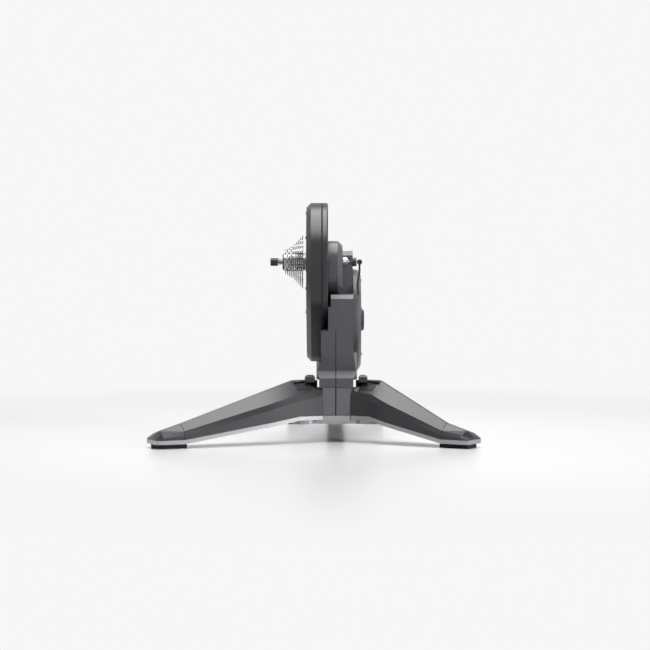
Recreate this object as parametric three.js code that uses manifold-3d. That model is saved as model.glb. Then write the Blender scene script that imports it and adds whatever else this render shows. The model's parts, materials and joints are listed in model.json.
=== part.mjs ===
// A direct drive bike trainer: a folding two-leg stand, an upright casing with a belt-driven flywheel, and a
// rear axle that carries a ten-speed cassette. Millimetres, +Z up. X = 0 is the bicycle's centre plane,
// Y = 0 is the rear axle, and the floor is Z = 0. The front of the stand, where the legs reach, faces -Y.
import * as THREE from "three";
import { mergeVertices } from "three/addons/utils/BufferGeometryUtils.js";
import Module from "manifold-3d";

const wasm = await Module();
wasm.setup();

// Driving dimensions, shared by several pieces.
const GAP = 0.3; // between touching pieces
const RUN = 0.5; // running clearance of what turns
const CUT = 2; // overrun of every cut
const WALL = 3; // moulded wall
const SIDES = 44; // facets of a large round
const MID_SIDES = 24; // facets of a middling round
const FEW_SIDES = 14; // facets of a small round
const AXLE_Z = 356;
const AXLE_R = 7.5;
const AXLE_LEFT = -64.8; // outer faces of the axle's lock nuts, 130.8 apart
const AXLE_RIGHT = 66;
const SEAM_X = 42; // the plane where the casing's halves meet, which is the stand's middle
const FLYWHEEL_Y = 115;
const FLYWHEEL_Z = 236;
const FLYWHEEL_R = 84;
const FLYWHEEL_T = 12;
const SHAFT_R = 6;
const BELT_ROOM = 18; // from the housing's rim to the drive pulley
const BELT_RATIO = 0.22; // the flywheel's pulley to the drive pulley
const PULLEY_T = 12;
const PULLEY_X = 0;
const BELT_T = 3;
const HOUSING_LEFT = -17; // pulley housing, outer faces and seam
const HOUSING_SEAM = 14;
const HOUSING_RIGHT = 26;
const HOUSING_TOP_R = 118;
const HOUSING_LOW_R = 85;
const BIG_PULLEY_R = HOUSING_TOP_R - BELT_ROOM;
const SMALL_PULLEY_R = BIG_PULLEY_R * BELT_RATIO;
const CASING_RIGHT = 76;
const CASING_LEFT = 12;
const SKIRT_LEFT = 8.4; // the left casing's foot is wider, up to the waist
const CASING_LOW_Z = 108;
const SPLIT_Z = 221; // the front seam steps across here
const PLATE_X = 43; // cast frame plate
const PLATE_T = 10;
const PIVOT_OUT = 62; // leg pivots, each side of the seam plane
const PIVOT_Y = -50;
const PIN_R = 8;
const HUB_FLOOR = 37; // underside of the hub casting
const HUB_PLATE_T = 7.6;
const STRIP_LOW = 45; // the bright edge of the leg arms and the hub
const STRIP_T = 8;
const NOSE_Y = -66;
const LEG_ROOT_U = 24;
const LEG_CAP_LENGTH = 36;
const TURRET_R = 27.5;
const TURRET_TOP = 122;
const PAD_T = 8;

const steel = new THREE.MeshStandardMaterial({ color: 0xb4b4b4, roughness: 0.3, metalness: 1 });
const castGrey = new THREE.MeshStandardMaterial({ color: 0xa8a8aa, roughness: 0.45, metalness: 0.8 });
const casingPlastic = new THREE.MeshStandardMaterial({ color: 0x3a3a3e, roughness: 0.55 });
const darkPlastic = new THREE.MeshStandardMaterial({ color: 0x222226, roughness: 0.6 });
const rubber = new THREE.MeshStandardMaterial({ color: 0x1b1b1d, roughness: 0.85 });
const boardGreen = new THREE.MeshStandardMaterial({ color: 0x1f5a38, roughness: 0.5 });

// Shapes and solids.
function solidOf(geometry) {
  const bare = geometry.index ? geometry.toNonIndexed() : geometry.clone();
  bare.deleteAttribute("normal");
  bare.deleteAttribute("uv");
  const merged = mergeVertices(bare, 1e-3);
  const make = (triVerts) =>
    new wasm.Manifold(
      new wasm.Mesh({ numProp: 3, vertProperties: new Float32Array(merged.attributes.position.array), triVerts }),
    );
  const triVerts = new Uint32Array(merged.index.array);
  const made = make(triVerts);
  if (made.volume() > 0) return made;
  for (let i = 0; i < triVerts.length; i += 3)
    [triVerts[i + 1], triVerts[i + 2]] = [triVerts[i + 2], triVerts[i + 1]];
  return make(triVerts);
}

function geometryOf(solid) {
  const { vertProperties, triVerts } = solid.getMesh();
  const geometry = new THREE.BufferGeometry();
  geometry.setAttribute("position", new THREE.BufferAttribute(vertProperties, 3));
  geometry.setIndex(new THREE.BufferAttribute(triVerts, 1));
  geometry.computeVertexNormals();
  return geometry;
}

const root = new THREE.Group();

function add(name, solid, material, parent = root) {
  const mesh = new THREE.Mesh(geometryOf(solid), material);
  mesh.name = name;
  parent.add(mesh);
}

const join = (...solids) => solids.reduce((all, next) => all.add(next));
const cut = (solid, ...tools) => tools.reduce((rest, tool) => rest.subtract(tool), solid);

// An outline of [y, z] points, extruded along X from x0 to x1.
function slab(outline, x0, x1) {
  const shape = new THREE.Shape(outline.map(([y, z]) => new THREE.Vector2(y, z)));
  const geometry = new THREE.ExtrudeGeometry(shape, { depth: x1 - x0, bevelEnabled: false });
  return solidOf(geometry.applyMatrix4(new THREE.Matrix4().set(0, 0, 1, x0, 1, 0, 0, 0, 0, 1, 0, 0, 0, 0, 0, 1)));
}

// An outline of [x, y] points, extruded up from z0 to z1.
function prism(outline, z0, z1) {
  const shape = new THREE.Shape(outline.map(([x, y]) => new THREE.Vector2(x, y)));
  const geometry = new THREE.ExtrudeGeometry(shape, { depth: z1 - z0, bevelEnabled: false });
  return solidOf(geometry.translate(0, 0, z0));
}

// A turned piece about a line along X through (y, z): profile points are [x, r].
function turned(profile, y, z, sides = SIDES) {
  const points = profile.map(([x, r]) => new THREE.Vector2(r, x));
  const geometry = new THREE.LatheGeometry(points, sides);
  return solidOf(geometry.applyMatrix4(new THREE.Matrix4().set(0, 1, 0, 0, 0, 0, 1, y, 1, 0, 0, z, 0, 0, 0, 1)));
}

const disc = (r, x0, x1, y, z, sides = SIDES) => turned([[x0, 0], [x0, r], [x1, r], [x1, 0]], y, z, sides);
const ring = (rIn, rOut, x0, x1, y, z, sides = SIDES) =>
  turned([[x0, rIn], [x0, rOut], [x1, rOut], [x1, rIn], [x0, rIn]], y, z, sides);

// An upright cylinder.
function post(r, x, y, z0, z1, sides = SIDES) {
  const geometry = new THREE.CylinderGeometry(r, r, z1 - z0, sides);
  return solidOf(geometry.rotateX(Math.PI / 2).translate(x, y, (z0 + z1) / 2));
}

function block(x0, x1, y0, y1, z0, z1) {
  const geometry = new THREE.BoxGeometry(x1 - x0, y1 - y0, z1 - z0);
  return solidOf(geometry.translate((x0 + x1) / 2, (y0 + y1) / 2, (z0 + z1) / 2));
}

// Sections with as many points each, joined into one closed skin.
function loft(sections) {
  const count = sections[0].length;
  const points = sections.flat();
  const index = [];
  for (let s = 0; s < sections.length - 1; s++)
    for (let i = 0; i < count; i++) {
      const a = s * count + i;
      const b = s * count + ((i + 1) % count);
      index.push(a, b, b + count, a, b + count, a + count);
    }
  const last = (sections.length - 1) * count;
  for (let i = 1; i < count - 1; i++) index.push(0, i + 1, i, last, last + i, last + i + 1);
  const geometry = new THREE.BufferGeometry();
  geometry.setAttribute("position", new THREE.BufferAttribute(new Float32Array(points.flat()), 3));
  geometry.setIndex(index);
  return solidOf(geometry);
}

// The outline moved inwards by d, corner by corner. It runs anticlockwise.
function inset(outline, d) {
  const n = outline.length;
  return outline.map(([x, y], i) => {
    const [px, py] = outline[(i + n - 1) % n];
    const [nx, ny] = outline[(i + 1) % n];
    const a = new THREE.Vector2(x - px, y - py).normalize();
    const b = new THREE.Vector2(nx - x, ny - y).normalize();
    const k = d / (1 + a.dot(b));
    return [x + (-a.y - b.y) * k, y + (a.x + b.x) * k];
  });
}

// Two circles on the axle and the flywheel shaft, and their outer tangents: an anticlockwise outline.
function twoCircles(topR, lowR, steps) {
  const dy = FLYWHEEL_Y;
  const dz = FLYWHEEL_Z - AXLE_Z;
  const along = Math.atan2(dz, dy);
  const half = Math.acos((topR - lowR) / Math.hypot(dy, dz));
  const points = [];
  for (let i = 0; i <= steps; i++) {
    const t = along - half + (i / steps) * 2 * half;
    points.push([FLYWHEEL_Y + lowR * Math.cos(t), FLYWHEEL_Z + lowR * Math.sin(t)]);
  }
  for (let i = 0; i <= steps; i++) {
    const t = along + half + (i / steps) * (2 * Math.PI - 2 * half);
    points.push([topR * Math.cos(t), AXLE_Z + topR * Math.sin(t)]);
  }
  return points;
}

// Pulley housing: a front shell with a chamfered rim, and a back shell, split where the belt runs.
const SHAFT_HOLE_R = SHAFT_R + CUT;
const FREEHUB_HOLE_R = 22;
const HOUSING_STEPS = 24;
const RIM_CHAMFER = 9;
const BACK_CHAMFER = 2.5;

// A housing face, moved in by the chamfer at its outer rim.
function dished(xFlat, xEdge, chamfer, reduce) {
  const face = (r, x) => twoCircles(HOUSING_TOP_R - r, HOUSING_LOW_R - r, HOUSING_STEPS).map(([y, z]) => [x, y, z]);
  const xTurn = xFlat + Math.sign(xEdge - xFlat) * chamfer;
  return loft([face(reduce + chamfer, xFlat), face(reduce, xTurn), face(reduce, xEdge)]);
}

function pulleyHousing() {
  const front = cut(
    dished(HOUSING_LEFT, HOUSING_SEAM, RIM_CHAMFER, 0),
    dished(HOUSING_LEFT + WALL, HOUSING_SEAM + CUT, RIM_CHAMFER, WALL),
    disc(FREEHUB_HOLE_R, HOUSING_LEFT - CUT, HOUSING_LEFT + WALL + CUT, 0, AXLE_Z),
  );
  const back = cut(
    dished(HOUSING_RIGHT, HOUSING_SEAM + GAP, BACK_CHAMFER, 0),
    dished(HOUSING_RIGHT - WALL, HOUSING_SEAM - CUT, BACK_CHAMFER, WALL),
    disc(AXLE_R + GAP, HOUSING_LEFT, HOUSING_RIGHT + CUT, 0, AXLE_Z, FEW_SIDES),
    disc(SHAFT_HOLE_R, HOUSING_LEFT, HOUSING_RIGHT + CUT, FLYWHEEL_Y, FLYWHEEL_Z, FEW_SIDES),
  );
  add("pulley_cover_front", front, casingPlastic);
  add("pulley_cover_back", back, casingPlastic);
}

// Casing halves. Their outlines are [y, z], anticlockwise seen from the right side.
const CASING_FRONT = -66;
const CASING_WAIST = -50;
const CASING_FOOT = -62;
const FOOT_TOP_Z = 127;
const WAIST_Z = 142;
const BULGE_Z = 177;
const LEDGE_Z = 292;
const LEDGE_DROP = 8;
const TOWER_FRONT = 43;
const TOWER_TOP = 378;
const TOWER_CHAMFER = 9;
const TOWER_BACK = 85;
const CASING_BACK = 222;
const LEFT_BACK = 100;
const INLET_ROOM = 150; // the casing's left side steps in below this, behind the power inlet
const WINDOW_IN = 8; // the casing is open behind the pulley housing, this far inside its edge
const FLANK_LOW = TURRET_TOP + CUT;
const FLANK_LEFT = 3;
const FLANK_RIGHT = 83.5;
const FLANK_LEFT_TOP = 160;
const FLANK_CORNER = -44;
const FLANK_BACK = -10;
const frontFace = [[CASING_FRONT, BULGE_Z], [CASING_WAIST, WAIST_Z], [CASING_FOOT, FOOT_TOP_Z], [CASING_FOOT, CASING_LOW_Z]];

function casingOutline() {
  const rearR = CASING_BACK - FLYWHEEL_Y;
  const rear = [];
  for (let i = 0; i <= 10; i++) {
    const t = THREE.MathUtils.degToRad(-52 + i * 11.4);
    rear.push([FLYWHEEL_Y + rearR * Math.cos(t), FLYWHEEL_Z + rearR * Math.sin(t)]);
  }
  const bottomBack = [LEFT_BACK + TOWER_FRONT, CASING_LOW_Z];
  const tower = [[TOWER_BACK, TOWER_TOP], [TOWER_FRONT + TOWER_CHAMFER, TOWER_TOP], [TOWER_FRONT, TOWER_TOP - TOWER_CHAMFER]];
  const ledge = [[TOWER_FRONT, LEDGE_Z], [CASING_FRONT + LEDGE_DROP, LEDGE_Z], [CASING_FRONT, LEDGE_Z - LEDGE_DROP]];
  return [bottomBack, ...rear, ...tower, ...ledge, ...frontFace];
}

// The block that widens the casing's front above a leg's root, with its front corner cut off.
function flank(wallX, outerX, top) {
  const rootX = wallX + Math.sign(wallX - outerX) * WALL / 2;
  const plan = [[rootX, CASING_FRONT], [wallX, CASING_FRONT], [outerX, FLANK_CORNER], [outerX, FLANK_BACK], [rootX, FLANK_BACK]];
  const side = [[FLANK_BACK, FLANK_LOW], [FLANK_BACK, BULGE_Z], ...frontFace.slice(0, 3), [CASING_FOOT, FLANK_LOW]];
  const [x0, x1] = outerX < wallX ? [outerX, rootX] : [rootX, outerX];
  return prism(plan, FLANK_LOW, top).intersect(slab(side, x0, x1));
}

function casings() {
  const outline = casingOutline();
  const inner = inset(outline, WALL);
  const rightSlot = block(
    PLATE_X - GAP, PLATE_X + PLATE_T + GAP, PLATE_FRONT - GAP, PLATE_FOOT_BACK + GAP, CASING_LOW_Z - CUT, CASING_LOW_Z + WALL + CUT,
  );
  const lip = HOUSING_RIGHT + GAP;
  const seamX = SEAM_X + GAP / 2;
  const right = cut(
    slab(outline, lip, CASING_RIGHT),
    slab(inner, lip + WALL, CASING_RIGHT - WALL),
    slab(twoCircles(HOUSING_TOP_R - WINDOW_IN, HOUSING_LOW_R - WINDOW_IN, HOUSING_STEPS), lip - CUT, lip + WALL + CUT),
    block(lip - CUT, seamX, CASING_FRONT - CUT, LEFT_BACK + GAP, CASING_LOW_Z - CUT, SPLIT_Z + GAP),
    block(lip - CUT, seamX, CASING_FRONT - CUT, CASING_BACK + CUT, CASING_LOW_Z - CUT, INLET_ROOM),
    rightSlot,
    disc(SHAFT_HOLE_R, CASING_RIGHT - WALL - CUT, CASING_RIGHT + CUT, FLYWHEEL_Y, FLYWHEEL_Z, FEW_SIDES),
  );
  // The wall and the shelf that close the casing beside and above the power inlet.
  const wallX = seamX + WALL;
  const recess = join(
    block(lip, wallX, LEFT_BACK + GAP, CASING_BACK, INLET_ROOM, INLET_ROOM + WALL),
    block(seamX, wallX, LEFT_BACK + GAP, CASING_BACK, CASING_LOW_Z, INLET_ROOM + WALL),
  ).intersect(slab(outline, lip, CASING_RIGHT));
  add("casing_right", join(right, recess, flank(CASING_RIGHT, FLANK_RIGHT, BULGE_Z)), casingPlastic);

  const slope = (HOUSING_TOP_R - HOUSING_LOW_R) / Math.hypot(FLYWHEEL_Y, FLYWHEEL_Z - AXLE_Z);
  const bed = (gap) => twoCircles(HOUSING_TOP_R + gap + slope, HOUSING_LOW_R + gap + slope, HOUSING_STEPS);
  const leftOutline = [
    [LEFT_BACK, CASING_LOW_Z], [LEFT_BACK, SPLIT_Z], [CASING_FRONT, SPLIT_Z], ...frontFace,
  ];
  const half = SEAM_X - GAP / 2;
  const shell = cut(
    slab(leftOutline, CASING_LEFT, half),
    slab(bed(GAP), CASING_LEFT - CUT, HOUSING_RIGHT + GAP),
    slab(inset(leftOutline, WALL), CASING_LEFT + WALL, half + CUT),
  );
  const rimRight = HOUSING_RIGHT + GAP + WALL;
  const shelf = cut(slab(leftOutline, CASING_LEFT, rimRight), slab(bed(GAP), CASING_LEFT - CUT, HOUSING_RIGHT + GAP));
  const rim = shelf.intersect(slab(bed(GAP + WALL), CASING_LEFT, rimRight));
  const skirtOutline = [[LEFT_BACK, CASING_LOW_Z], [LEFT_BACK, WAIST_Z], ...frontFace.slice(1)];
  const skirt = slab(skirtOutline, SKIRT_LEFT, CASING_LEFT + WALL);
  add("casing_left", join(shell, rim, skirt, flank(CASING_LEFT, FLANK_LEFT, FLANK_LEFT_TOP)), casingPlastic);
}

// Frame plate: the casting inside the casing, from the hub up to the axle housing and the flywheel.
const PLATE_FRONT = -32;
const PLATE_FOOT_BACK = 60;
const PLATE_EYE_R = 26;
const BEARING_R = 13;
const HUB_TOP = STRIP_LOW + STRIP_T;

function framePlate() {
  const z0 = HUB_TOP + GAP;
  const eyeTop = FLYWHEEL_Z + PLATE_EYE_R;
  const outline = [
    [PLATE_FRONT, z0], [PLATE_FOOT_BACK, z0], [PLATE_FOOT_BACK, CASING_LOW_Z + PLATE_EYE_R],
    [FLYWHEEL_Y + PLATE_EYE_R, FLYWHEEL_Z - PLATE_EYE_R], [FLYWHEEL_Y + PLATE_EYE_R, eyeTop],
    [TOWER_FRONT + PLATE_EYE_R, TOWER_TOP - PLATE_EYE_R], [TOWER_FRONT + WALL + GAP, TOWER_TOP - PLATE_EYE_R],
    [TOWER_FRONT + WALL + GAP, eyeTop], [PLATE_FRONT, LEDGE_Z - PLATE_EYE_R * 2],
  ];
  const plate = slab(outline, PLATE_X, PLATE_X + PLATE_T);
  const bore = disc(BEARING_R + GAP, PLATE_X - CUT, PLATE_X + PLATE_T + CUT, FLYWHEEL_Y, FLYWHEEL_Z, FEW_SIDES);
  add("frame_plate", cut(plate, bore), castGrey);
  const half = PLATE_X + PLATE_T / 2;
  const bearing = (x0, x1) => ring(SHAFT_R + GAP, BEARING_R, x0, x1, FLYWHEEL_Y, FLYWHEEL_Z, FEW_SIDES);
  add("flywheel_bearing_inner", bearing(PLATE_X + GAP, half - GAP), steel);
  add("flywheel_bearing_outer", bearing(half + GAP, PLATE_X + PLATE_T - GAP), steel);
}

// Flywheel, its shaft and the small pulley turn together; the brake block sits in front of the rim.
const FLYWHEEL_X = 57;
const FLYWHEEL_WEB = 7;
const FLYWHEEL_RIM = 18;
const SHAFT_LEFT = -3;
const FLANGE = 2;
const COVER_R = 105;
const COVER_EDGE = 6;
const COVER_RIGHT = 93;
const CAP_R = 22;
const CAP_RIGHT = 100;
const CAP_EDGE = 3;

function flywheelSet() {
  const x1 = FLYWHEEL_X + FLYWHEEL_T;
  const hubR = BEARING_R + FLANGE;
  const rimR = FLYWHEEL_R - FLYWHEEL_RIM;
  const web = x1 - FLYWHEEL_WEB;
  const wheel = turned(
    [
      [FLYWHEEL_X, SHAFT_R + GAP], [FLYWHEEL_X, FLYWHEEL_R], [x1, FLYWHEEL_R], [x1, rimR], [web, rimR],
      [web, hubR], [x1, hubR], [x1, SHAFT_R + GAP], [FLYWHEEL_X, SHAFT_R + GAP],
    ],
    FLYWHEEL_Y, FLYWHEEL_Z,
  );
  add("flywheel", wheel, steel);
  add("flywheel_shaft", disc(SHAFT_R, SHAFT_LEFT, CASING_RIGHT - GAP, FLYWHEEL_Y, FLYWHEEL_Z, FEW_SIDES), steel);
  const r = SMALL_PULLEY_R;
  const p1 = PULLEY_X + PULLEY_T;
  const pulley = turned(
    [
      [PULLEY_X - FLANGE, SHAFT_R + GAP], [PULLEY_X - FLANGE, r + FLANGE], [PULLEY_X, r + FLANGE], [PULLEY_X, r],
      [p1, r], [p1, SHAFT_R + GAP], [PULLEY_X - FLANGE, SHAFT_R + GAP],
    ],
    FLYWHEEL_Y, FLYWHEEL_Z, MID_SIDES,
  );
  add("small_pulley", pulley, steel);
  const blockBack = FLYWHEEL_Y - FLYWHEEL_R / 2;
  const magnets = cut(
    block(PLATE_X + PLATE_T + GAP, x1, BRAKE_FRONT, blockBack, FLYWHEEL_Z - BRAKE_HALF, FLYWHEEL_Z + BRAKE_HALF),
    disc(FLYWHEEL_R + RUN * 2, PLATE_X, CASING_RIGHT, FLYWHEEL_Y, FLYWHEEL_Z),
  );
  add("brake_magnet_block", magnets, darkPlastic);
  const board = block(
    PLATE_X + PLATE_T + GAP, PLATE_X + PLATE_T + BOARD_T, PLATE_FRONT + WALL, PLATE_FRONT + BOARD_W, BULGE_Z - BOARD_H, BULGE_Z,
  );
  add("control_board", board, boardGreen);
  const coverLeft = CASING_RIGHT + GAP;
  const cover = turned(
    [
      [coverLeft, 0], [coverLeft, COVER_R], [COVER_RIGHT - COVER_EDGE, COVER_R - FLANGE],
      [COVER_RIGHT, COVER_R - COVER_EDGE * 2], [COVER_RIGHT, 0],
    ],
    FLYWHEEL_Y, FLYWHEEL_Z,
  );
  const hollow = disc(COVER_R - COVER_EDGE * 2, coverLeft - CUT, COVER_RIGHT - WALL, FLYWHEEL_Y, FLYWHEEL_Z);
  add("flywheel_cover", cut(cover, hollow), casingPlastic);
  const cap = turned(
    [
      [COVER_RIGHT + GAP, 0], [COVER_RIGHT + GAP, CAP_R], [CAP_RIGHT - CAP_EDGE, CAP_R],
      [CAP_RIGHT, CAP_R - CAP_EDGE], [CAP_RIGHT, 0],
    ],
    FLYWHEEL_Y, FLYWHEEL_Z,
  );
  add("flywheel_cap", cap, darkPlastic);
}
const BRAKE_FRONT = -25;
const BRAKE_HALF = 34;
const BOARD_T = 1.9;
const BOARD_W = 52;
const BOARD_H = 55;

// Axle, its housing, the drive pulley, the belt and the cassette.
const BORE_R = 3.2;
const HUB_BORE_R = 14.3;
const FREEHUB_R = 17;
const FREEHUB_LEFT = -62;
const FREEHUB_RIGHT = -19;
const PULLEY_WEB = 5;
const PULLEY_RIM = 8;
const BOSS_R = 42;
const BOSS_RIGHT = 55;
const BOSS_CHAMFER = 9;
const BOSS_DROP = 21.5;
const NUT_R = 11;
const BELT_GAP = 0.6; // leaves 0.3 at the flats of a faceted round

function bossOutline(r, x, steps = 14) {
  const points = [];
  for (let i = 0; i <= steps; i++) {
    const t = (i / steps) * Math.PI;
    points.push([x, r * Math.cos(t), AXLE_Z + r * Math.sin(t)]);
  }
  for (let i = 0; i <= steps; i++) {
    const t = Math.PI + (i / steps) * Math.PI;
    points.push([x, r * Math.cos(t), AXLE_Z - BOSS_DROP + r * Math.sin(t)]);
  }
  return points;
}

function axleSet() {
  const bossFace = BOSS_RIGHT - BOSS_CHAMFER;
  const boss = loft([
    bossOutline(BOSS_R, HOUSING_RIGHT + GAP), bossOutline(BOSS_R, bossFace),
    bossOutline(BOSS_R - BOSS_CHAMFER, BOSS_RIGHT),
  ]);
  add("axle_housing", cut(boss, disc(AXLE_R + GAP, HOUSING_RIGHT, CASING_RIGHT, 0, AXLE_Z, FEW_SIDES)), casingPlastic);
  const nutLeft = BOSS_RIGHT + GAP;
  add("axle", ring(BORE_R, AXLE_R, AXLE_LEFT + WALL, AXLE_RIGHT, 0, AXLE_Z, FEW_SIDES), steel);
  const nutBore = disc(AXLE_R + GAP, HOUSING_RIGHT, CASING_RIGHT, 0, AXLE_Z, FEW_SIDES);
  const nut = cut(disc(NUT_R, nutLeft, AXLE_RIGHT - WALL, 0, AXLE_Z, 6), nutBore);
  add("axle_nut", nut, steel);
  const bearing = (x0) => ring(AXLE_R + GAP, HUB_BORE_R - GAP, x0, x0 + PULLEY_WEB, 0, AXLE_Z, FEW_SIDES);
  add("axle_bearing_left", bearing(FREEHUB_LEFT + WALL), steel);
  add("axle_bearing_right", bearing(PULLEY_X + WALL), steel);
  const p1 = PULLEY_X + PULLEY_T;
  const hub = FREEHUB_R + WALL;
  const r = BIG_PULLEY_R;
  const web = PULLEY_X + PULLEY_WEB;
  const pulley = turned(
    [
      [FREEHUB_RIGHT + RUN, HUB_BORE_R], [FREEHUB_RIGHT + RUN, hub], [PULLEY_X, hub], [PULLEY_X, r], [p1, r],
      [p1, r - PULLEY_RIM], [web, r - PULLEY_RIM], [web, hub], [p1, hub], [p1, HUB_BORE_R],
      [FREEHUB_RIGHT + RUN, HUB_BORE_R],
    ],
    0, AXLE_Z, SIDES,
  );
  add("drive_pulley", pulley, castGrey);
  const beltOuter = twoCircles(r + BELT_GAP + BELT_T, SMALL_PULLEY_R + BELT_GAP + BELT_T, HOUSING_STEPS);
  const beltInner = twoCircles(r + BELT_GAP, SMALL_PULLEY_R + BELT_GAP, HOUSING_STEPS);
  const belt = cut(slab(beltOuter, PULLEY_X + RUN, p1 - RUN), slab(beltInner, PULLEY_X - CUT, p1 + CUT));
  add("drive_belt", belt, rubber);
}

// Cassette: each sprocket carries its own spacer collar on the side of the next smaller one.
const TEETH = [25, 23, 21, 19, 17, 15, 14, 13, 12, 11];
const CHAIN_PITCH = 12.7;
const SPROCKET_T = 1.8;
const SPROCKET_STEP = 3.75;
const CASSETTE_RIGHT = -24;
const SPROCKET_BORE_R = FREEHUB_R + GAP;
const COLLAR_R = 18.4;
const TOOTH_RISE = 2.2;
const TOOTH_FALL = 3.4;
const LOCK_RING_R = 15.5;

function sprocketOutline(teeth) {
  const pitchR = CHAIN_PITCH / (2 * Math.sin(Math.PI / teeth));
  const rise = pitchR + TOOTH_RISE;
  const fall = pitchR - TOOTH_FALL;
  const shares = [[0, fall], [0.36, fall], [0.56, rise], [0.8, rise]];
  const points = [];
  for (let i = 0; i < teeth; i++)
    for (const [share, r] of shares) {
      const t = ((i + share) / teeth) * 2 * Math.PI;
      points.push([r * Math.cos(t), AXLE_Z + r * Math.sin(t)]);
    }
  return points;
}

function cassette() {
  TEETH.forEach((teeth, i) => {
    const x1 = CASSETTE_RIGHT - i * SPROCKET_STEP;
    const x0 = x1 - SPROCKET_T;
    const wheel = cut(
      slab(sprocketOutline(teeth), x0, x1),
      disc(SPROCKET_BORE_R, x0 - CUT, x1 + CUT, 0, AXLE_Z, MID_SIDES),
    );
    const collar = ring(SPROCKET_BORE_R, COLLAR_R, x1 - SPROCKET_STEP + GAP, x1, 0, AXLE_Z, MID_SIDES);
    add("sprocket_" + teeth, join(wheel, collar), steel);
  });
  const body = ring(HUB_BORE_R, FREEHUB_R, FREEHUB_LEFT, FREEHUB_RIGHT, 0, AXLE_Z, MID_SIDES);
  add("freehub_body", body, steel);
  const lock = ring(AXLE_R + RUN, LOCK_RING_R, AXLE_LEFT, FREEHUB_LEFT - GAP, 0, AXLE_Z, MID_SIDES);
  add("cassette_lock_ring", lock, darkPlastic);
}

// Quick-release skewer: rod, turning nut, conical springs and the cam lever.
const ROD_R = 2.5;
const NUT_OUTER = -89;
const NUT_INNER = -74;
const SKEWER_NUT_R = 8;
const SPRING_WIRE_R = 0.5;
const SPRING_TURNS = 4;
const SPRING_WIDE_R = 7;
const DROPOUT_ROOM = 2.1; // free between the axle's face and the spring, for the bicycle's dropout
const SPRING_NARROW_R = 4;
const CAM_LEFT = 74.5;
const CAM_RIGHT = 83;
const CAM_R = 8.5;
const CAM_X = 89;
const CAM_PIN_R = 5.5;
const LEVER_HALF = 6;
const LEVER_DROP = 66;
const LEVER_T = 4;

// A cone spring along X from x0 to x1, as one wound tube with straight ends.
function coneSpring(x0, x1, r0, r1) {
  const steps = SPRING_TURNS * 8;
  const sections = [];
  for (let i = 0; i <= steps; i++) {
    const share = i / steps;
    const t = share * SPRING_TURNS * 2 * Math.PI;
    const r = r0 + (r1 - r0) * share;
    const x = x0 + (x1 - x0) * share;
    const section = [];
    for (let k = 0; k < 5; k++) {
      const a = (k / 5) * 2 * Math.PI;
      const rr = r + SPRING_WIRE_R * Math.cos(a);
      section.push([x + SPRING_WIRE_R * Math.sin(a), rr * Math.cos(t), AXLE_Z + rr * Math.sin(t)]);
    }
    sections.push(section);
  }
  return loft(sections);
}

function skewer() {
  const rodEnd = NUT_OUTER + WALL;
  const head = disc(CAM_R, CAM_LEFT, CAM_RIGHT, 0, AXLE_Z, MID_SIDES);
  add("skewer_rod", disc(ROD_R, rodEnd, CAM_LEFT - GAP, 0, AXLE_Z, FEW_SIDES), steel);
  add("skewer_head", head, darkPlastic);
  const nutShape = turned(
    [
      [NUT_OUTER, 0], [NUT_OUTER, SKEWER_NUT_R - 1], [NUT_OUTER + 1, SKEWER_NUT_R], [NUT_INNER - 1, SKEWER_NUT_R],
      [NUT_INNER, SKEWER_NUT_R - 1], [NUT_INNER, 0],
    ],
    0, AXLE_Z, FEW_SIDES,
  );
  const nutBore = disc(ROD_R + GAP, rodEnd - GAP, NUT_INNER + CUT, 0, AXLE_Z, FEW_SIDES);
  add("skewer_nut", cut(nutShape, nutBore), darkPlastic);
  const ends = SPRING_WIRE_R + GAP;
  add("spring_left", coneSpring(NUT_INNER + ends, AXLE_LEFT - ends, SPRING_WIDE_R, SPRING_NARROW_R), steel);
  add("spring_right", coneSpring(AXLE_RIGHT + DROPOUT_ROOM + SPRING_WIRE_R, CAM_LEFT - ends, SPRING_NARROW_R, SPRING_WIDE_R), steel);
  const barrel = solidOf(
    new THREE.CylinderGeometry(CAM_PIN_R, CAM_PIN_R, CAM_R * 2, FEW_SIDES).translate(CAM_X, 0, AXLE_Z),
  );
  const section = (x, half, z) => [[x, -half, z], [x + LEVER_T, -half, z], [x + LEVER_T, half, z], [x, half, z]];
  const mid = CAM_X - LEVER_T / 2;
  const arm = loft([
    section(mid, LEVER_HALF, AXLE_Z), section(mid, LEVER_HALF, AXLE_Z - LEVER_DROP * 0.3),
    section(mid - LEVER_T, LEVER_HALF - 1, AXLE_Z - LEVER_DROP * 0.7),
    section(mid - LEVER_T / 2, LEVER_HALF - 2, AXLE_Z - LEVER_DROP),
  ]);
  add("skewer_lever", join(barrel, arm), darkPlastic);
}

// Hub: a bright casting below, two moulded cover halves above, and the rear beam with its foot bar.
const NOSE_HALF = 27;
const HUB_HALF = 30;
const HUB_BACK = 62;
const NOSE_TOP = CASING_LOW_Z - GAP * 2;
const LUG_R = 25;
const TUBE_R = 14;
const BEAM_HALF = 18;
const BEAM_BACK = 395;
const BEAM_END_LOW = 10;
const BEAM_END_TOP = 32;
const BAR_HALF = 105;
const BAR_DEPTH = 44;
const BAR_SWEEP = 22;
const BAR_TOP = 34;
const PIN_TOP = 104;
const PIN_HEAD = 5;
const WING = 39.4; // the leg's root corner clears the cover's rear corner here
const REAR_TURN = 45;

const LEFT_LENGTH = 304; // from the pivot to the foot pad
const RIGHT_LENGTH = 224;

// Each leg: side is -1 at the left and 1 at the right; aim is its open direction, seen from above.
const legs = [
  { name: "left", side: -1, aim: 205.8, length: LEFT_LENGTH },
  { name: "right", side: 1, aim: -34.2, length: RIGHT_LENGTH },
];
const pivotX = (side) => SEAM_X + side * PIVOT_OUT;
const around = (x, y, r, degrees) => [
  x + r * Math.cos(THREE.MathUtils.degToRad(degrees)),
  y + r * Math.sin(THREE.MathUtils.degToRad(degrees)),
];

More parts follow.
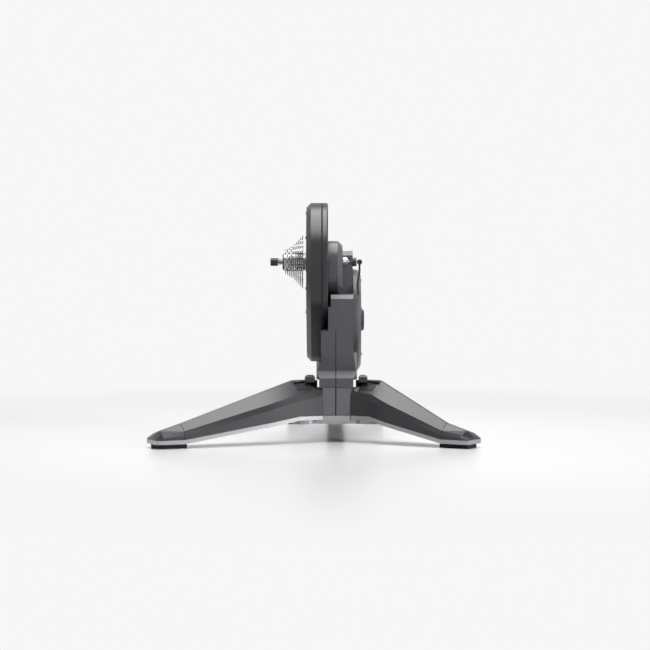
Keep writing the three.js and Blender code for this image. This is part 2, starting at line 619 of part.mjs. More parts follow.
// A point of a leg's own frame, u outwards and v to the front, on the plan.
function fromLeg({ side, aim }, u, v) {
  const [x, y] = around(0, 0, u, aim);
  const [vx, vy] = around(0, 0, v, aim - side * 90);
  return [pivotX(side) + x + vx, PIVOT_Y + y + vy];
}

// How far out along the leg the nose's corner lies.
function noseCorner({ side, aim }) {
  const [c, d] = around(0, 0, 1, aim);
  return (SEAM_X + side * NOSE_HALF - pivotX(side)) * c + (NOSE_Y - PIVOT_Y) * d;
}

function hub() {
  const ears = legs.map(({ side }) => post(LUG_R, pivotX(side), PIVOT_Y, HUB_FLOOR, HUB_FLOOR + HUB_PLATE_T));
  const plateTop = HUB_FLOOR + HUB_PLATE_T;
  const bridge = block(pivotX(-1), pivotX(1), PIVOT_Y - LUG_R / 2, PIVOT_Y + LUG_R, HUB_FLOOR, plateTop);
  const spine = block(SEAM_X - BEAM_HALF, SEAM_X + BEAM_HALF, NOSE_Y + WALL, HUB_BACK, HUB_FLOOR, HUB_TOP);
  const lip = block(SEAM_X - NOSE_HALF, SEAM_X + NOSE_HALF, NOSE_Y, NOSE_Y + LUG_R / 2, STRIP_LOW - STRIP_T / 2, HUB_TOP);
  const holes = legs.map(({ side }) => post(PIN_R + GAP, pivotX(side), PIVOT_Y, HUB_FLOOR - CUT, plateTop + CUT, FEW_SIDES));
  add("hub_casting", cut(join(bridge, spine, lip, ...ears), ...holes), castGrey);

  for (const { name, side, aim } of legs) {
    const px = pivotX(side);
    const rear = around(px, PIVOT_Y, WING, 90 + side * REAR_TURN);
    const cornerU = noseCorner({ side, aim });
    const seat = fromLeg({ side, aim }, cornerU, Math.sqrt(TURRET_R ** 2 - cornerU ** 2));
    const outline = [
      [SEAM_X, NOSE_Y], [SEAM_X + side * NOSE_HALF, NOSE_Y], seat, [px, PIVOT_Y], rear,
      [SEAM_X + side * HUB_HALF, rear[1] + LUG_R / 2], [SEAM_X + side * HUB_HALF, HUB_BACK], [SEAM_X, HUB_BACK],
    ];
    const turn = side < 0 ? outline.slice().reverse() : outline;
    const z0 = HUB_TOP + GAP;
    const low = prism(turn, z0, NOSE_TOP);
    const clear = post(TURRET_R + RUN, px, PIVOT_Y, z0 - CUT, TURRET_TOP);
    const seamCut = block(
      side < 0 ? SEAM_X - GAP / 2 : SEAM_X - HUB_HALF * 2, side < 0 ? SEAM_X + HUB_HALF * 2 : SEAM_X + GAP / 2,
      NOSE_Y - CUT, HUB_BACK + CUT, z0 - CUT, TURRET_TOP,
    );
    const kept = post(TURRET_R + RUN + WALL, px, PIVOT_Y, z0 - CUT * 2, TURRET_TOP);
    const hollow = cut(prism(inset(turn, WALL), z0 - CUT, NOSE_TOP - WALL), kept);
    const slot = block(
      PLATE_X - GAP, PLATE_X + PLATE_T + GAP, PLATE_FRONT - GAP, PLATE_FOOT_BACK + GAP, z0 - CUT, NOSE_TOP + CUT,
    );
    add("hub_cover_" + name, cut(low, clear, seamCut, hollow, slot), casingPlastic);
    const head = post(PIN_R + WALL, px, PIVOT_Y, PIN_TOP - PIN_HEAD, PIN_TOP, FEW_SIDES);
    add("pivot_pin_" + name, join(post(PIN_R, px, PIVOT_Y, HUB_FLOOR, PIN_TOP - 1, FEW_SIDES), head), steel);
  }
}

function rearStand() {
  const x0 = SEAM_X - BEAM_HALF;
  const x1 = SEAM_X + BEAM_HALF;
  const section = (y, low, top) => [[x0, y, low], [x1, y, low], [x1, y, top], [x0, y, top]];
  const rootY = HUB_BACK + GAP;
  add(
    "rear_beam",
    loft([section(rootY, HUB_FLOOR, HUB_TOP), section(BEAM_BACK, BEAM_END_LOW, BEAM_END_TOP)]),
    casingPlastic,
  );
  const barY = BEAM_BACK + GAP;
  const bar = [
    [SEAM_X - BAR_HALF, barY - BAR_SWEEP], [SEAM_X - BEAM_HALF - WALL, barY], [SEAM_X + BEAM_HALF + WALL, barY],
    [SEAM_X + BAR_HALF, barY - BAR_SWEEP], [SEAM_X + BAR_HALF, barY + BAR_DEPTH - BAR_SWEEP],
    [SEAM_X + BAR_HALF / 2, barY + BAR_DEPTH], [SEAM_X - BAR_HALF / 2, barY + BAR_DEPTH],
    [SEAM_X - BAR_HALF, barY + BAR_DEPTH - BAR_SWEEP],
  ];
  add("rear_foot_bar", prism(bar, PAD_T + GAP, BAR_TOP), casingPlastic);
  for (const { name, side } of legs) {
    const cx = SEAM_X + side * (BAR_HALF - BAR_SWEEP);
    add("rear_pad_" + name, block(cx - BEAM_HALF, cx + BEAM_HALF, barY - WALL, barY + BAR_SWEEP, 0, PAD_T), rubber);
  }
}

// Leg sections run from the pivot (u = 0) outwards, v is to the front, and all heights fall along the leg. The
// ridge lies behind the middle at the hub and before it at the foot, so that the front face stays nearly flat.
const legNose = { half: 31, low: 53.4, side: 94, edge: 105, top: 107, ridge: 0 };
const legHip = { half: 30.5, low: 53.4, side: 88, edge: 100, top: 121, ridge: -6 };
const legRoot = { half: 30, low: 53.4, side: 84, edge: 97, top: 122, ridge: -12 };
const TIP_LOW = PAD_T + GAP + STRIP_T + GAP;
const legTip = { half: 31, low: TIP_LOW, side: 25, edge: 33, top: 46, ridge: 4 };
const legCap = { half: 29, low: TIP_LOW, side: 21, edge: 27, top: 33, ridge: 4 };
const legEnd = { half: 24, low: TIP_LOW, side: 18, edge: 19, top: 20, ridge: 0 };
const MID_HALF = 37; // the leg is widest here
const MID_SHARE = 0.27;
const HIP_U = -8;
const LEG_STEPS = 3;
const RIDGE_HALF = 3;
const BUMP_HALF = 10;
const BUMP_EDGE = 4;
const BUMP_TOP = 133;
const EDGE_IN = 5;
const RIB_HALF = 11;
const RIB_DROP = 9;
const CAP_FRONT = 22;
const END_FACET = 14;
const PAD_INSET = 6;

function coverSection(u, s, wall, open, front) {
  const h = s.half - wall;
  const e = h - EDGE_IN;
  const low = open ? s.low - CUT : s.low;
  const top = s.top - wall;
  const points = [
    [-h, low], [h, low], [h, s.side - wall], [e, s.edge - wall], [s.ridge + RIDGE_HALF, top],
    [s.ridge - RIDGE_HALF, top], [-e, s.edge - wall], [-h, s.side - wall],
  ];
  return points.map(([v, z]) => [u, front * v, z]);
}

// The place at a share of the way from one place to the next; a place is [u, section].
function along([u0, s0], [u1, s1], share) {
  const mixed = Object.keys(s0).map((key) => [key, s0[key] + (s1[key] - s0[key]) * share]);
  return [u0 + (u1 - u0) * share, Object.fromEntries(mixed)];
}

// The places between two places, shared out evenly, without the last one.
const between = (from, to) => Array.from({ length: LEG_STEPS }, (_, i) => along(from, to, i / LEG_STEPS));
const boxSection = (u, half, low, top) => [[u, -half, low], [u, half, low], [u, half, top], [u, -half, top]];

function leg({ name, side, aim, length }) {
  const group = new THREE.Group();
  group.position.set(pivotX(side), PIVOT_Y, 0);
  group.rotation.z = THREE.MathUtils.degToRad(aim);
  root.add(group);
  const tipU = length - LEG_CAP_LENGTH;
  const front = -side;
  const noseU = noseCorner({ side, aim }) + GAP;
  const nose = [noseU, legNose];
  const hip = [HIP_U, legHip];
  const start = [LEG_ROOT_U, legRoot];
  const tip = [tipU, legTip];
  const [midU, legMid] = along(start, tip, MID_SHARE);
  legMid.half = MID_HALF;
  const mid = [midU, legMid];
  const rest = [...between(hip, start), ...between(start, mid)];
  const places = [...between(nose, hip), ...rest, ...between(mid, tip), tip];
  const outer = loft(places.map(([u, s]) => coverSection(u, s, 0, false, front)));
  const innerTip = [tipU - WALL, { ...legTip, side: legTip.side + GAP }];
  const innerPlaces = [...between([noseU + WALL, legNose], hip), ...rest, ...between(mid, innerTip), innerTip];
  const inner = loft(innerPlaces.map(([u, s]) => coverSection(u, s, WALL, true, front)));
  const far = front * WING * 2;
  const behind = block(-midU, LEG_ROOT_U, Math.min(0, -far), Math.max(0, -far), 0, BUMP_TOP);
  const before = block(-midU, midU, Math.min(0, far), Math.max(0, far), 0, BUMP_TOP);
  const boss = cut(post(TURRET_R, 0, 0, legRoot.low, TURRET_TOP), cut(before, outer));
  const cover = join(cut(outer, behind), boss);
  const well = cut(post(TURRET_R - WALL, 0, 0, legRoot.low - CUT, TURRET_TOP - WALL), cut(before, inner));
  const flankX = side < 0 ? FLANK_LEFT : FLANK_RIGHT;
  const bumpFar = Math.sqrt((Math.abs(flankX - pivotX(side)) - RUN) ** 2 - BUMP_HALF ** 2); // it turns past the flank
  const level = (z, edge) => {
    const x0 = side < 0 ? edge : edge - bumpFar;
    const x1 = side < 0 ? bumpFar - edge : -edge;
    const y = BUMP_HALF - edge;
    return [[x0, -y, z], [x1, -y, z], [x1, y, z], [x0, y, z]];
  };
  const bump = loft([level(TURRET_TOP - WALL, 0), level(BUMP_TOP - BUMP_EDGE, 0), level(BUMP_TOP, BUMP_EDGE)]);
  add("leg_cover_" + name, cut(join(cover, bump.rotate([0, 0, -aim])), cut(inner, behind), well), casingPlastic, group);

  const below = (s) => s.low - GAP;
  const capU = length + CAP_FRONT - END_FACET;
  const endU = length + CAP_FRONT;
  const stripPlaces = [...places, [capU, legCap], [endU, legEnd]];
  const strip = loft(stripPlaces.map(([u, s]) => boxSection(u, s.half, below(s) - STRIP_T, below(s))));
  const plate = cut(strip, behind);
  const ribEnd = (midU + tipU) / 2;
  const ribTop = (legMid.top + legTip.top) / 2;
  const ribLow = (legMid.low + legTip.low) / 2;
  const rib = loft([
    boxSection(LEG_ROOT_U + RIB_DROP, RIB_HALF, below(legRoot) - STRIP_T, legRoot.edge - RIB_DROP),
    boxSection(midU, RIB_HALF, below(legMid) - STRIP_T, legMid.top - RIB_DROP * 2),
    boxSection(ribEnd, RIB_HALF, ribLow - STRIP_T, ribTop - RIB_DROP * 2),
  ]);
  const lug = post(LUG_R, 0, 0, STRIP_LOW, STRIP_LOW + STRIP_T);
  const tube = post(TUBE_R, 0, 0, STRIP_LOW, PIN_TOP - PIN_HEAD - GAP, FEW_SIDES);
  const bore = post(PIN_R + GAP, 0, 0, 0, TURRET_TOP, FEW_SIDES);
  add("leg_arm_" + name, cut(join(plate, rib, lug, tube), bore), castGrey, group);

  const capPlaces = [[tipU + GAP, legTip], [capU, legCap], [endU, legEnd]];
  const cap = loft(capPlaces.map(([u, s]) => coverSection(u, s, 0, false, front)));
  add("foot_cap_" + name, cap, casingPlastic, group);
  const pad = loft([
    boxSection(tipU - PAD_INSET, legTip.half - PAD_INSET, 0, PAD_T),
    boxSection(endU - PAD_INSET, legEnd.half - PAD_INSET, 0, PAD_T),
  ]);
  add("foot_pad_" + name, pad, rubber, group);
}

// Power inlet on the left casing's back.
const INLET_R = 7;
const INLET_BORE_R = 4;
const INLET_LENGTH = 10;
const INLET_Z = 130;

function inlet() {
  const back = LEFT_BACK + GAP;
  const x = (CASING_LEFT + SEAM_X) / 2;
  const barrel = (r, y0, y1) => solidOf(
    new THREE.CylinderGeometry(r, r, y1 - y0, FEW_SIDES).translate(x, (y0 + y1) / 2, INLET_Z),
  );
  const body = barrel(INLET_R, back, back + INLET_LENGTH);
  const bore = barrel(INLET_BORE_R, back + WALL, back + INLET_LENGTH + CUT);
  add("power_inlet", cut(body, bore), darkPlastic);
}

pulleyHousing();
casings();
framePlate();
flywheelSet();
axleSet();
cassette();
skewer();
hub();
rearStand();
legs.forEach(leg);
inlet();

// The origin is on the floor, in the middle of the footprint.
const trainer = new THREE.Group();
trainer.add(root);
const footprint = new THREE.Box3().setFromObject(root, true).getCenter(new THREE.Vector3());
root.position.set(-footprint.x, -footprint.y, 0);

export default trainer;
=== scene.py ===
# Looks of a direct drive bike trainer, laid out as an add-on: sizes and colours are properties, and each
# group of pieces has an operator. Metres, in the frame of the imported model.
import json
import math

import bpy
from mathutils import Matrix, Vector


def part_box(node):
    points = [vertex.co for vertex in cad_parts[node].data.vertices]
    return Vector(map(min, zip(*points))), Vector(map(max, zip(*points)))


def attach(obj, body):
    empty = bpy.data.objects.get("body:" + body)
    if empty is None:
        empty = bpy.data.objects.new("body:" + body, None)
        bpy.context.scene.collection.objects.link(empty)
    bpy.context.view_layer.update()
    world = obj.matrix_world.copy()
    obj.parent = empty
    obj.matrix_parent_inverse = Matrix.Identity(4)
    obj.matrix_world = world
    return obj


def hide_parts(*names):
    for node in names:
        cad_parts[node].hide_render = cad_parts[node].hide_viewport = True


bl_info = {
    "name": "Direct Drive Bike Trainer",
    "version": (1, 0, 0),
    "blender": (4, 5, 0),
    "location": "View3D > Sidebar > Trainer",
    "description": "Finishes and details of a folding direct drive bike trainer",
    "category": "Object",
}

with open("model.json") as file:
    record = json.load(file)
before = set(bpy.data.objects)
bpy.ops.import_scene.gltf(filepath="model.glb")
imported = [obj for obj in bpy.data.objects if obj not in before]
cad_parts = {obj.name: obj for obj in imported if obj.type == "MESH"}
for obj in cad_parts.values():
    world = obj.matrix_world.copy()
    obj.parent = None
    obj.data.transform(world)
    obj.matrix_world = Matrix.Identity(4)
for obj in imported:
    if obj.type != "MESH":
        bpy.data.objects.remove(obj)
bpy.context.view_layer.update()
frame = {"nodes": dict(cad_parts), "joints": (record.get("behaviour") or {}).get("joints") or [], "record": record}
MM = 0.001
MERGE = 0.01 * MM  # points closer than this are one point
TOUCH = 0.05 * MM  # a face nearer to a plane than this lies in it
FLAT = math.radians(1.0)  # faces that turn less than this become one
SHARP = math.radians(32)  # an edge that turns more than this shades as a corner
LARGE_FACE_WEIGHT = 90  # how strongly the large faces pull the shading next to them flat
LOOKS = 0.9  # a face looks along an axis if its normal goes this far along it
SQUARE = 0.99  # and is square to the axis if its normal goes this far
FINE_EDGE = 0.25 * MM  # rounding of the washers and of the legs' hatches
THIN_EDGE = 0.2 * MM  # rounding of the board and of the skewer's rod
SPROCKET_EDGE = 0.18 * MM
RIGHT, LEFT, UP = (1, 0, 0), (-1, 0, 0), (0, 0, 1)
SIDES = ("left", "right")
BODY_OF = {node: body for body, nodes in frame["record"]["behaviour"]["bodies"].items() for node in nodes}
SLOT_OF = {row["node"]: row["material_slot"] for row in frame["record"]["subparts"]}
JOINT_AT = {joint["name"]: Vector(joint["pos_m"]) for joint in frame["joints"]}


class TrainerSizes(bpy.types.PropertyGroup):
    """Sizes of the details that the moulded and turned pieces carry."""

    shell_edge: bpy.props.FloatProperty(
        name="Shell edge",
        description="Rounding of the moulded shells' edges",
        default=1.6 * MM,
        unit="LENGTH",
    )
    small_edge: bpy.props.FloatProperty(
        name="Small edge",
        description="Rounding of small pieces' edges",
        default=0.5 * MM,
        unit="LENGTH",
    )
    # The dark in the joints is painted shade: a near-black strip as wide as the chamfered joint.
    joint_width: bpy.props.FloatProperty(
        name="Joint width",
        description="Width of the dark joint between two shells",
        default=4.0 * MM,
        unit="LENGTH",
    )
    ring_radius: bpy.props.FloatProperty(
        name="Ring radius",
        description="Radius of the washers at the axle's right end",
        default=10.5 * MM,
        unit="LENGTH",
    )
    ring_bore: bpy.props.FloatProperty(
        name="Ring bore",
        description="Radius of the hole in those washers",
        default=8 * MM,
        unit="LENGTH",
    )
    ring_width: bpy.props.FloatProperty(
        name="Ring width",
        description="Thickness of those washers",
        default=1.6 * MM,
        unit="LENGTH",
    )
    screw_radius: bpy.props.FloatProperty(
        name="Screw radius",
        description="Radius of a cover screw's head",
        default=4.2 * MM,
        unit="LENGTH",
    )
    screw_height: bpy.props.FloatProperty(
        name="Screw height",
        description="How far a screw's head stands proud",
        default=1.6 * MM,
        unit="LENGTH",
    )
    panel_length: bpy.props.FloatProperty(
        name="Panel length",
        description="Length of the hatch on a leg",
        default=30 * MM,
        unit="LENGTH",
    )
    panel_width: bpy.props.FloatProperty(
        name="Panel width",
        description="Width of the hatch on a leg",
        default=17 * MM,
        unit="LENGTH",
    )
    panel_thickness: bpy.props.FloatProperty(
        name="Panel thickness",
        description="Thickness of the hatch on a leg",
        default=1.8 * MM,
        unit="LENGTH",
    )
    flutes: bpy.props.IntProperty(name="Flutes", description="Grip flutes round the skewer nut", default=12)


class TrainerColours(bpy.types.PropertyGroup):
    """Colours of the finishes, as sRGB hex values."""

    casing: bpy.props.StringProperty(name="Casing", description="Moulded casing", default="56575C")
    # Darker than the casing: the moulding's own tone plus painted shade for the housing's rim, which faces down
    # and forward.
    housing: bpy.props.StringProperty(name="Housing", description="Moulded pulley housing", default="1F2023")
    # Lighter than the casing: the moulding's own tone plus painted light for the hub's front-facing nose.
    hub: bpy.props.StringProperty(name="Hub", description="Moulded hub covers", default="727378")
    legs: bpy.props.StringProperty(name="Legs", description="Moulded leg covers", default="2B2C30")
    black: bpy.props.StringProperty(name="Black", description="Small black mouldings", default="1E1E21")
    silver: bpy.props.StringProperty(name="Silver", description="Painted casting", default="ACADB0")
    steel: bpy.props.StringProperty(name="Steel", description="Turned steel", default="8E8F92")
    nickel: bpy.props.StringProperty(name="Nickel", description="Plated sprockets", default="A4A4A5")
    rubber: bpy.props.StringProperty(name="Rubber", description="Foot pads and belt", default="1F1F21")
    # Near black for the strips in the shells' joints: painted shade where the joints fall into shadow.
    seal: bpy.props.StringProperty(name="Joint shade", description="Painted shade in the shells' joints", default="0B0B0C")
    board: bpy.props.StringProperty(name="Board", description="Solder mask", default="1F5A38")
    floor: bpy.props.StringProperty(name="Floor", description="Pale floor and backdrop", default="E4E4E5")


def sizes():
    return bpy.context.scene.trainer_sizes


def colours():
    return bpy.context.scene.trainer_colours


def linear(hex_value, tint):
    """An sRGB hex value as a linear colour, times tint."""
    channels = [int(hex_value[i : i + 2], 16) / 255 for i in (0, 2, 4)]
    straight = [c / 12.92 if c <= 0.04045 else ((c + 0.055) / 1.055) ** 2.4 for c in channels]
    return tuple(tint * c for c in straight) + (1.0,)


# Materials.
def add_node(tree, kind, inputs=None, **settings):
    """Adds a node, sets its attributes, and sets or links its inputs."""
    node = tree.nodes.new(kind)
    for key, value in settings.items():
        setattr(node, key, value)
    for key, value in (inputs or {}).items():
        if isinstance(value, bpy.types.NodeSocket):
            tree.links.new(value, node.inputs[key])
        else:
            node.inputs[key].default_value = value
    return node


def surface(name, **values):
    """A new material with its tree, its shader and an Object coordinate socket."""
    material = bpy.data.materials.new(name)
    material.use_nodes = True
    tree = material.node_tree
    shader = tree.nodes["Principled BSDF"]
    for key, value in values.items():
        shader.inputs[key.replace("_", " ")].default_value = value
    place = add_node(tree, "ShaderNodeTexCoord").outputs["Object"]
    return material, tree, shader, place


def tinted(tree, shader, colour, low, high, factor):
    """Links a base colour that runs from low to high times colour as factor goes from 0 to 1."""
    ramp = add_node(tree, "ShaderNodeValToRGB", {"Fac": factor})
    ramp.color_ramp.elements[0].color = linear(colour, low)
    ramp.color_ramp.elements[1].color = linear(colour, high)
    tree.links.new(ramp.outputs["Color"], shader.inputs["Base Color"])


def spread(tree, factor, low, high):
    """A socket that runs from low to high as factor goes from 0 to 1."""
    ends = {"Value": factor, "To Min": low, "To Max": high}
    return add_node(tree, "ShaderNodeMapRange", ends).outputs["Result"]


def noise(tree, vector, size_mm, detail):
    """A noise whose patches are about size_mm across."""
    settings = {"Vector": vector, "Scale": 1 / (size_mm * MM), "Detail": detail}
    return add_node(tree, "ShaderNodeTexNoise", settings).outputs["Fac"]


def roughen(tree, shader, factor, low, high):
    """Links a roughness that runs from low to high as factor goes from 0 to 1."""
    tree.links.new(spread(tree, factor, low, high), shader.inputs["Roughness"])


def emboss(tree, shader, height, strength, depth_mm):
    """Links a bump whose height is a socket from 0 to 1."""
    settings = {"Height": height, "Strength": strength, "Distance": depth_mm * MM}
    bump = add_node(tree, "ShaderNodeBump", settings)
    tree.links.new(bump.outputs["Normal"], shader.inputs["Normal"])


def moulded_abs(name, colour, rough, grain_mm=1.1):
    """Injection-moulded ABS with a spark-eroded grain: the grain breaks the highlight up, and faint
    clouding from flow and handling shifts the tone. The real 0.2 mm grain is drawn 1 mm wide to show.
    The black nylon and the board's solder mask use it too, each with its own grain."""
    material, tree, shader, place = surface(name, IOR=1.53)
    cloud = noise(tree, place, 90, 3.0)
    grain = noise(tree, place, grain_mm, 2.0)
    tinted(tree, shader, colour, 0.86, 1.14, cloud)
    roughen(tree, shader, grain, rough - 0.08, rough + 0.1)
    emboss(tree, shader, grain, 0.22, 0.12)
    return material


def painted_casting(name, colour):
    """Die-cast aluminium under silver powder coat: orange peel a few millimetres wide softens the
    reflections, and metal flakes in the coat vary its tone."""
    material, tree, shader, place = surface(name, Metallic=0.55, IOR=1.5)
    peel = noise(tree, place, 2.5, 2.0)
    tinted(tree, shader, colour, 0.88, 1.1, noise(tree, place, 0.9, 1.0))
    roughen(tree, shader, peel, 0.28, 0.42)
    emboss(tree, shader, peel, 0.15, 0.1)
    return material


def turned_steel(name, colour):
    """Lathe-turned steel: fine rings across the axle line give it a streaked shine."""
    material, tree, shader, place = surface(name, Metallic=1.0)
    stretch = add_node(tree, "ShaderNodeMapping", {"Vector": place, "Scale": (1.0, 0.06, 0.06)})
    rings = noise(tree, stretch.outputs["Vector"], 0.5, 2.0)
    tinted(tree, shader, colour, 0.82, 1.1, rings)
    roughen(tree, shader, rings, 0.2, 0.4)
    emboss(tree, shader, rings, 0.1, 0.05)
    return material


def nickel_sprocket(name, colour):
    """Stamped steel under nickel plate: bright, with faint stamping clouds and a trace of dark oil."""
    material, tree, shader, place = surface(name, Metallic=1.0)
    cloud = noise(tree, place, 6, 4.0)
    tinted(tree, shader, colour, 0.6, 1.12, cloud)
    roughen(tree, shader, cloud, 0.2, 0.38)
    return material


def moulded_rubber(name, colour):
    """Compression-moulded rubber: matt, slightly dusty, with a pebble a millimetre wide."""
    material, tree, shader, place = surface(name, IOR=1.52)
    pebble = add_node(tree, "ShaderNodeTexVoronoi", {"Vector": place, "Scale": 1 / (1.5 * MM)})
    dust = noise(tree, place, 30, 5.0)
    tinted(tree, shader, colour, 0.8, 1.3, dust)
    roughen(tree, shader, dust, 0.72, 0.92)
    emboss(tree, shader, pebble.outputs["Distance"], 0.25, 0.2)
    return material


FINISHES = {}


def make_finishes():
    c = colours()
    FINISHES.update(
        casing_plastic=moulded_abs("moulded ABS casing", c.casing, 0.36),
        housing_plastic=moulded_abs("moulded ABS pulley housing", c.housing, 0.36),
        hub_plastic=moulded_abs("moulded ABS hub cover", c.hub, 0.4),
        leg_plastic=moulded_abs("moulded ABS leg cover", c.legs, 0.38),
        dark_plastic=moulded_abs("moulded glass-filled nylon", c.black, 0.4, grain_mm=0.8),
        cast_metal=painted_casting("silver coated casting", c.silver),
        steel=turned_steel("turned steel", c.steel),
        sprocket_steel=nickel_sprocket("nickel plated sprocket", c.nickel),
        rubber=moulded_rubber("moulded rubber", c.rubber),
        # Near-black rubber look for the joint strips: painted shade in the joints.
        seal=moulded_rubber("moulded rubber seal", c.seal),
        circuit_board=moulded_abs("solder mask board", c.board, 0.3, grain_mm=2.0),
    )


# Mesh helpers.
def deselect():
    bpy.ops.object.select_all(action="DESELECT")


def select_only(piece):
    deselect()
    piece.select_set(True)
    bpy.context.view_layer.objects.active = piece


def edit(piece):
    select_only(piece)
    bpy.ops.object.mode_set(mode="EDIT")
    bpy.ops.mesh.select_all(action="SELECT")


def leave_edit():
    bpy.ops.object.mode_set(mode="OBJECT")


def pick_faces(piece, wanted):
    """Selects the faces whose centre and normal pass the test, from edit mode and back to it."""
    bpy.ops.mesh.select_all(action="DESELECT")
    bpy.ops.mesh.select_mode(type="FACE")
    leave_edit()
    for polygon in piece.data.polygons:
        polygon.select = wanted(polygon.center, polygon.normal)
    bpy.ops.object.mode_set(mode="EDIT")


def settle(piece):
    """Puts the object at the origin with its place in its mesh."""
    select_only(piece)
    bpy.ops.object.transform_apply(location=True, rotation=True, scale=True)


def bevel(piece, width, segments=2, angle=30):
    """Rounds the edges that turn more than angle degrees, and keeps the faces between them flat."""
    select_only(piece)
    modifier = piece.modifiers.new("Edge", "BEVEL")
    modifier.width = width
    modifier.segments = segments
    modifier.limit_method = "ANGLE"
    modifier.angle_limit = math.radians(angle)
    bpy.ops.object.modifier_apply(modifier=modifier.name)
    bpy.ops.object.shade_smooth_by_angle(angle=SHARP)
    flat = piece.modifiers.new("Flat faces", "WEIGHTED_NORMAL")
    flat.keep_sharp = True
    flat.weight = LARGE_FACE_WEIGHT
    bpy.ops.object.modifier_apply(modifier=flat.name)


def chamfer_picked(piece, width, wanted):
    """Chamfers only the edges whose two ends pass the test."""
    select_only(piece)
    weights = piece.data.attributes.new("bevel_weight_edge", "FLOAT", "EDGE")
    for edge in piece.data.edges:
        ends = [piece.data.vertices[index].co for index in edge.vertices]
        weights.data[edge.index].value = 1.0 if all(wanted(end) for end in ends) else 0.0
    modifier = piece.modifiers.new("Joint", "BEVEL")
    modifier.width = width
    modifier.segments = 1
    modifier.limit_method = "WEIGHT"
    bpy.ops.object.modifier_apply(modifier=modifier.name)
    piece.data.attributes.remove(piece.data.attributes["bevel_weight_edge"])


def finish_piece(piece, name, finish, body, replaces=()):
    """Names a piece, gives it its finish, hangs it under its body's empty, and hides the imported nodes it stands
    in for.
    """
    piece.name = name
    piece.data.name = name
    piece.data.materials.clear()
    piece.data.materials.append(FINISHES[finish])
    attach(piece, body)
    if replaces:
        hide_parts(*replaces)
    return piece


def copy_node(node, name):
    """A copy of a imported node's mesh with its points merged, left in edit mode."""
    piece = bpy.data.objects.new(name, frame["nodes"][node].data.copy())
    bpy.context.scene.collection.objects.link(piece)
    edit(piece)
    bpy.ops.mesh.remove_doubles(threshold=MERGE)
    return piece


def end_along(node, axis):
    """How far the node reaches along axis."""
    return max(axis.dot(corner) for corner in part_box(node))


def dress(node, edge, finish=None, segments=2, angle=30, joint=None):
    """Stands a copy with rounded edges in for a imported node. joint is the way its joint face looks."""
    piece = copy_node(node, node + "_body")
    bpy.ops.mesh.dissolve_limited(angle_limit=FLAT)
    leave_edit()
    if joint:
        axis = Vector(joint)
        level = end_along(node, axis)
        chamfer_picked(piece, sizes().joint_width / 2, lambda end: level - axis.dot(end) < TOUCH)
    bevel(piece, edge, segments, angle)
    slot = SLOT_OF[node]
    return finish_piece(piece, node + "_body", finish or slot, BODY_OF[node], (node,))


def centre(node):
    """The middle of the node's box."""
    low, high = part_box(node)
    return (low + high) / 2


class TRAINER_OT_casing(bpy.types.Operator):
    """Casing halves, pulley housing, axle housing, flywheel cover and its cap, and power inlet"""

    bl_idname = "trainer.casing"
    bl_label = "Casing"

    def execute(self, context):
        edge = sizes().shell_edge
        for node, finish, joint in (
            ("casing_right", None, None),
            ("casing_left", None, RIGHT),
            ("pulley_cover_front", "housing_plastic", RIGHT),
            ("pulley_cover_back", "housing_plastic", LEFT),
            ("axle_housing", None, None),
        ):
            dress(node, edge, finish, segments=3, joint=joint)
        dress("flywheel_cover", edge, segments=3, angle=20)
        dress("flywheel_cap", sizes().small_edge * 2)
        dress("power_inlet", sizes().small_edge)
        return {"FINISHED"}


class TRAINER_OT_stand(bpy.types.Operator):
    """Hub, legs and their pivot pins, rear beam, feet and pads"""

    bl_idname = "trainer.stand"
    bl_label = "Stand"

    def execute(self, context):
        edge = sizes().shell_edge
        for side, joint in zip(SIDES, (RIGHT, LEFT)):
            dress("leg_cover_" + side, edge, "leg_plastic", angle=15)
            dress("foot_cap_" + side, edge, "leg_plastic", angle=15)
            dress("hub_cover_" + side, edge, "hub_plastic", joint=joint)
            dress("leg_arm_" + side, sizes().small_edge)
            dress("foot_pad_" + side, sizes().small_edge * 2)
            dress("rear_pad_" + side, sizes().small_edge * 2)
            dress("pivot_pin_" + side, sizes().small_edge)
        dress("rear_beam", edge, "leg_plastic")
        dress("rear_foot_bar", edge * 2, "leg_plastic", segments=3)
        dress("hub_casting", sizes().small_edge)
        return {"FINISHED"}


def washer(name, x):
    """A washer round the axle, centred at x."""
    axis_y, axis_z = centre("axle").yz
    radius = sizes().ring_radius
    deselect()
    bpy.ops.mesh.primitive_cylinder_add(
        vertices=32,
        radius=radius,
        depth=sizes().ring_width,
        end_fill_type="NOTHING",
        location=(x, axis_y, axis_z),
        rotation=(0, math.pi / 2, 0),
    )
    ring = bpy.context.active_object
    settle(ring)
    modifier = ring.modifiers.new("Wall", "SOLIDIFY")
    modifier.thickness = radius - sizes().ring_bore
    modifier.offset = -1
    bpy.ops.object.modifier_apply(modifier=modifier.name)
    bevel(ring, FINE_EDGE)
    return finish_piece(ring, name, "steel", "base")


class TRAINER_OT_drive(bpy.types.Operator):
    """Cassette, freehub, axle and its washers, pulleys, belt, flywheel, bearings, the skewer's rod and
    springs, and the parts inside the casing"""

    bl_idname = "trainer.drive"
    bl_label = "Drive"

    def execute(self, context):
        for node in sorted(SLOT_OF):
            if node.startswith("sprocket_"):
                dress(node, SPROCKET_EDGE, segments=1, angle=50)
        turned = ("freehub_body", "cassette_lock_ring", "axle", "axle_nut", "drive_pulley", "small_pulley")
        for node in turned:
            dress(node, sizes().small_edge / 2)
        axle_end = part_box("axle")[1].x
        for i, from_end in enumerate((9 * MM, 6 * MM, 3 * MM)):
            washer(f"axle_collar_{i}", axle_end - from_end)
        for node in ("flywheel", "flywheel_shaft", "drive_belt", "frame_plate", "brake_magnet_block"):
            dress(node, sizes().small_edge)
        for node in ("control_board", "skewer_rod"):
            dress(node, THIN_EDGE)
        for node in SLOT_OF:
            if "bearing" in node or node.startswith("spring_"):
                finishes = frame["nodes"][node].data.materials
                finishes.clear()
                finishes.append(FINISHES["steel"])
        return {"FINISHED"}


